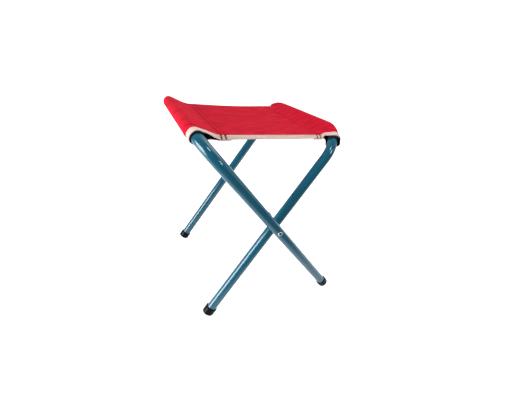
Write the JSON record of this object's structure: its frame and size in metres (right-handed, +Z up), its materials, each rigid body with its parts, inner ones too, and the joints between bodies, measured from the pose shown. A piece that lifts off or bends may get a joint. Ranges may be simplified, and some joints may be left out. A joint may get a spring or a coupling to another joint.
{
  "type": "camp stool",
  "caption": "Folding X-frame camp stool with crossed bent-tube frames, a fabric seat in sewn sleeves, edge binding and moulded foot caps.",
  "frame": {"origin": "on the floor under the middle of the seat", "axes": "+Z up; +X from the outer frame's top bar towards its feet; +Y along the top bars"},
  "size_m": [0.3008, 0.3718, 0.386],
  "materials": {
    "frame_enamel": "glossy petrol blue enamel on steel tube",
    "seat_canvas": "red woven canvas",
    "binding_tape": "cream woven binding tape",
    "lining_fabric": "black sleeve lining",
    "foot_pvc": "black moulded soft PVC",
    "rivet_zinc": "zinc plated steel",
    "spacer_nylon": "black nylon"
  },
  "bodies": {
    "outer_frame": {"outer_frame_tube": "frame_enamel", "outer_sleeve": "seat_canvas", "outer_sleeve_lining": "lining_fabric", "outer_sleeve_bindings": "binding_tape", "seat_panel": "seat_canvas", "edge_binding_near": "binding_tape", "edge_binding_far": "binding_tape", "outer_foot_cap_near": "foot_pvc", "outer_foot_cap_far": "foot_pvc", "pivot_rivet_near": "rivet_zinc", "pivot_rivet_far": "rivet_zinc", "pivot_spacer_near": "spacer_nylon", "pivot_spacer_far": "spacer_nylon"},
    "inner_frame": {"inner_frame_tube": "frame_enamel", "inner_sleeve": "seat_canvas", "inner_sleeve_lining": "lining_fabric", "inner_sleeve_bindings": "binding_tape", "inner_foot_cap_near": "foot_pvc", "inner_foot_cap_far": "foot_pvc", "pivot_washer_near": "rivet_zinc", "pivot_washer_far": "rivet_zinc"}
  },
  "joints": [
    {"name": "fold", "type": "hinge", "parent": "outer_frame", "child": "inner_frame", "pos_m": [0, 0, 0.19568], "axis": [0, -1, 0], "range_deg": [0, 65], "deforming": ["seat_panel", "edge_binding_near", "edge_binding_far"]}
  ]
}
